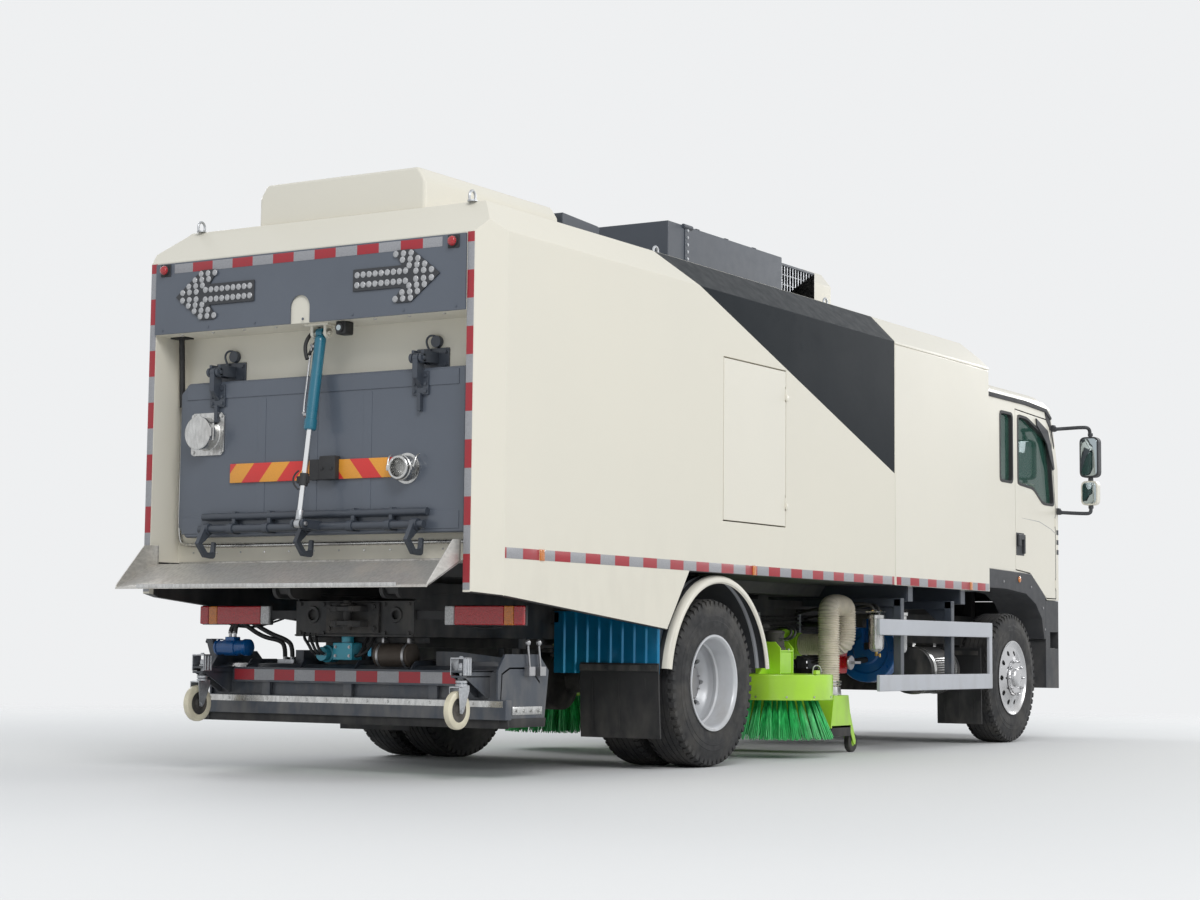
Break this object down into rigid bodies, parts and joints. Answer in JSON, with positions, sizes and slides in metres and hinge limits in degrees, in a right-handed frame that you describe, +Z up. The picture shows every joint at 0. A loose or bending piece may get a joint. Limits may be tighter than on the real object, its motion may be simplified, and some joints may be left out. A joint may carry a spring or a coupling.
{
  "type": "street sweeper truck",
  "caption": "Two-axle sweeper truck with a tipping body, top-hinged tailgate, side brushes and a lifting rear sweep unit.",
  "frame": {"origin": "on the ground under the middle of the truck's length and width", "axes": "+X forward, +Y to the left, +Z up"},
  "size_m": [9.45, 2.94, 3.5],
  "materials": {
    "cream_paint": "gloss",
    "slate_paint": "gloss",
    "chassis_black": "satin",
    "cast_black": "rough",
    "tyre_rubber": "matte",
    "flap_rubber": "matte",
    "rim_silver": "satin",
    "polished_rim": "polished",
    "guard_silver": "satin",
    "tank_grey": "satin",
    "pump_blue": "gloss",
    "lime_paint": "gloss",
    "brush_green": "fibre",
    "hose_beige": "ribbed",
    "clear_glass": "clear",
    "trim_plastic": "grained",
    "seat_fabric": "woven",
    "lamp_red": "clear",
    "stainless": "brushed",
    "chrome_rod": "polished",
    "cylinder_teal": "gloss",
    "caster_cream": "satin"
  },
  "bodies": {
    "chassis": {"frame_ladder": "chassis_black", "subframe": "chassis_black", "front_axle": "cast_black", "rear_axle": "cast_black", "leaf_springs": "cast_black", "powertrain": "cast_black", "tanks": "tank_grey", "side_guards": "guard_silver", "rear_fenders": "cream_paint", "mudflaps": "flap_rubber", "pump_unit": "pump_blue", "suction_nozzle": "lime_paint", "suction_hose": "hose_beige", "front_module": "cream_paint", "cab_shell": "cream_paint", "cab_glass": "clear_glass", "cab_interior": "seat_fabric", "front_bumper": "trim_plastic", "cab_arches": "trim_plastic", "lamps": "lamp_red", "mirrors": "trim_plastic"},
    "hopper": {"hopper_shell": "cream_paint", "header_panel": "slate_paint", "roof_hump": "cream_paint", "roof_boxes": "slate_paint", "chute": "stainless"},
    "tailgate": {"tailgate": "slate_paint"},
    "lock_bar": {"lock_bar": "slate_paint"},
    "gate_barrel": {"gate_barrel": "cylinder_teal"},
    "gate_rod": {"gate_rod": "chrome_rod"},
    "tip_barrels": {"tip_barrels": "chassis_black"},
    "tip_rods": {"tip_rods": "chrome_rod"},
    "sweep_unit": {"rear_bar": "chassis_black"},
    "roller": {"sweep_roller": "brush_green"},
    "knuckle_left": {"knuckle_left": "cast_black"},
    "front_wheel_left": {"front_tyre_left": "tyre_rubber", "front_rim_left": "polished_rim"},
    "rear_wheels_left": {"rear_tyres_left": "tyre_rubber", "rear_rims_left": "rim_silver"},
    "cab_door_left": {"cab_door_left": "cream_paint", "door_glass_left": "clear_glass"},
    "service_door_left": {"service_door_left": "cream_paint"},
    "brush_arm_left": {"brush_arm_left": "lime_paint"},
    "brush_disc_left": {"brush_disc_left": "brush_green"},
    "caster_fork_left": {"caster_fork_left": "guard_silver"},
    "caster_wheel_left": {"caster_wheel_left": "caster_cream"},
    "knuckle_right": {"knuckle_right": "cast_black"},
    "front_wheel_right": {"front_tyre_right": "tyre_rubber", "front_rim_right": "polished_rim"},
    "rear_wheels_right": {"rear_tyres_right": "tyre_rubber", "rear_rims_right": "rim_silver"},
    "cab_door_right": {"cab_door_right": "cream_paint", "door_glass_right": "clear_glass"},
    "service_door_right": {"service_door_right": "cream_paint"},
    "brush_arm_right": {"brush_arm_right": "lime_paint"},
    "brush_disc_right": {"brush_disc_right": "brush_green"},
    "caster_fork_right": {"caster_fork_right": "guard_silver"},
    "caster_wheel_right": {"caster_wheel_right": "caster_cream"}
  },
  "joints": [
    {"name": "hopper_tip", "type": "hinge", "parent": "chassis", "child": "hopper", "pos_m": [-4.055, 0, 1.05], "axis": [0, -1, 0], "range_deg": [0, 48]},
    {"name": "tip_barrel_swing", "type": "hinge", "parent": "chassis", "child": "tip_barrels", "pos_m": [-2.755, 0, 0.64], "axis": [0, -1, 0], "range_deg": [0, 61.59]},
    {"name": "tip_rod_slide", "type": "slide", "parent": "tip_barrels", "child": "tip_rods", "axis": [0.9451, 0, 0.3266], "range_m": [0, 1.0317]},
    {"name": "tailgate_hinge", "type": "hinge", "parent": "hopper", "child": "tailgate", "pos_m": [-4.34, 0, 2.3], "axis": [0, 1, 0], "range_deg": [0, 80]},
    {"name": "lock_bar_turn", "type": "hinge", "parent": "tailgate", "child": "lock_bar", "pos_m": [-4.353, 0, 1.388], "axis": [0, 1, 0], "range_deg": [0, 32.2]},
    {"name": "gate_barrel_swing", "type": "hinge", "parent": "hopper", "child": "gate_barrel", "pos_m": [-4.335, -0.05, 2.48], "axis": [0, 1, 0], "range_deg": [0, 68.6]},
    {"name": "gate_rod_slide", "type": "slide", "parent": "gate_barrel", "child": "gate_rod", "axis": [-0.149, 0, -0.9888], "range_m": [-0.2321, 0]},
    {"name": "sweep_unit_lift", "type": "hinge", "parent": "chassis", "child": "sweep_unit", "pos_m": [-3.105, 0, 0.62], "axis": [0, -1, 0], "range_deg": [0, 15]},
    {"name": "roller_spin", "type": "hinge", "parent": "sweep_unit", "child": "roller", "pos_m": [-3.755, 0, 0.43], "axis": [0, 1, 0], "continuous": true},
    {"name": "steer_left", "type": "hinge", "parent": "chassis", "child": "knuckle_left", "pos_m": [3.245, 0.85, 0.52], "axis": [0, 0, 1], "range_deg": [-38, 38]},
    {"name": "front_spin_left", "type": "hinge", "parent": "knuckle_left", "child": "front_wheel_left", "pos_m": [3.245, 1.044, 0.52], "axis": [0, 1, 0], "continuous": true},
    {"name": "rear_spin_left", "type": "hinge", "parent": "chassis", "child": "rear_wheels_left", "pos_m": [-1.855, 0.93, 0.52], "axis": [0, 1, 0], "continuous": true},
    {"name": "cab_door_swing_left", "type": "hinge", "parent": "chassis", "child": "cab_door_left", "pos_m": [4.402, 1.12, 1.9], "axis": [0, 0, -1], "range_deg": [0, 70]},
    {"name": "service_door_swing_left", "type": "hinge", "parent": "hopper", "child": "service_door_left", "pos_m": [-0.943, 1.25, 2.05], "axis": [0, 0, -1], "range_deg": [0, 100]},
    {"name": "brush_swing_left", "type": "hinge", "parent": "chassis", "child": "brush_arm_left", "pos_m": [0.155, 0.5, 0.8], "axis": [0, 0, -1], "range_deg": [0, 20]},
    {"name": "brush_spin_left", "type": "hinge", "parent": "brush_arm_left", "child": "brush_disc_left", "pos_m": [-0.355, 0.87, 0.5], "axis": [0, 0, 1], "continuous": true},
    {"name": "caster_swivel_left", "type": "hinge", "parent": "sweep_unit", "child": "caster_fork_left", "pos_m": [-4.155, 0.924, 0.58], "axis": [0, 0, 1], "continuous": true},
    {"name": "caster_spin_left", "type": "hinge", "parent": "caster_fork_left", "child": "caster_wheel_left", "pos_m": [-4.194, 0.924, 0.386], "axis": [0, 1, 0], "continuous": true},
    {"name": "steer_right", "type": "hinge", "parent": "chassis", "child": "knuckle_right", "pos_m": [3.245, -0.85, 0.52], "axis": [0, 0, 1], "range_deg": [-38, 38]},
    {"name": "front_spin_right", "type": "hinge", "parent": "knuckle_right", "child": "front_wheel_right", "pos_m": [3.245, -1.044, 0.52], "axis": [0, 1, 0], "continuous": true},
    {"name": "rear_spin_right", "type": "hinge", "parent": "chassis", "child": "rear_wheels_right", "pos_m": [-1.855, -0.93, 0.52], "axis": [0, 1, 0], "continuous": true},
    {"name": "cab_door_swing_right", "type": "hinge", "parent": "chassis", "child": "cab_door_right", "pos_m": [4.402, -1.12, 1.9], "axis": [0, 0, 1], "range_deg": [0, 70]},
    {"name": "service_door_swing_right", "type": "hinge", "parent": "hopper", "child": "service_door_right", "pos_m": [-0.943, -1.25, 2.05], "axis": [0, 0, 1], "range_deg": [0, 100]},
    {"name": "brush_swing_right", "type": "hinge", "parent": "chassis", "child": "brush_arm_right", "pos_m": [0.155, -0.5, 0.8], "axis": [0, 0, 1], "range_deg": [0, 20]},
    {"name": "brush_spin_right", "type": "hinge", "parent": "brush_arm_right", "child": "brush_disc_right", "pos_m": [-0.355, -0.87, 0.5], "axis": [0, 0, 1], "continuous": true},
    {"name": "caster_swivel_right", "type": "hinge", "parent": "sweep_unit", "child": "caster_fork_right", "pos_m": [-4.155, -0.924, 0.58], "axis": [0, 0, 1], "continuous": true},
    {"name": "caster_spin_right", "type": "hinge", "parent": "caster_fork_right", "child": "caster_wheel_right", "pos_m": [-4.194, -0.924, 0.386], "axis": [0, 1, 0], "continuous": true}
  ],
  "couplings": [
    {"joint": "tip_barrel_swing", "follows": "hopper_tip", "ratio": 1.279},
    {"joint": "tip_rod_slide", "follows": "hopper_tip", "m_per_rad": 1.2292},
    {"joint": "lock_bar_turn", "follows": "tailgate_hinge", "ratio": 0.4},
    {"joint": "gate_barrel_swing", "follows": "tailgate_hinge", "ratio": 0.85499},
    {"joint": "gate_rod_slide", "follows": "tailgate_hinge", "m_per_rad": -0.16482},
    {"joint": "steer_right", "follows": "steer_left", "ratio": 1}
  ]
}
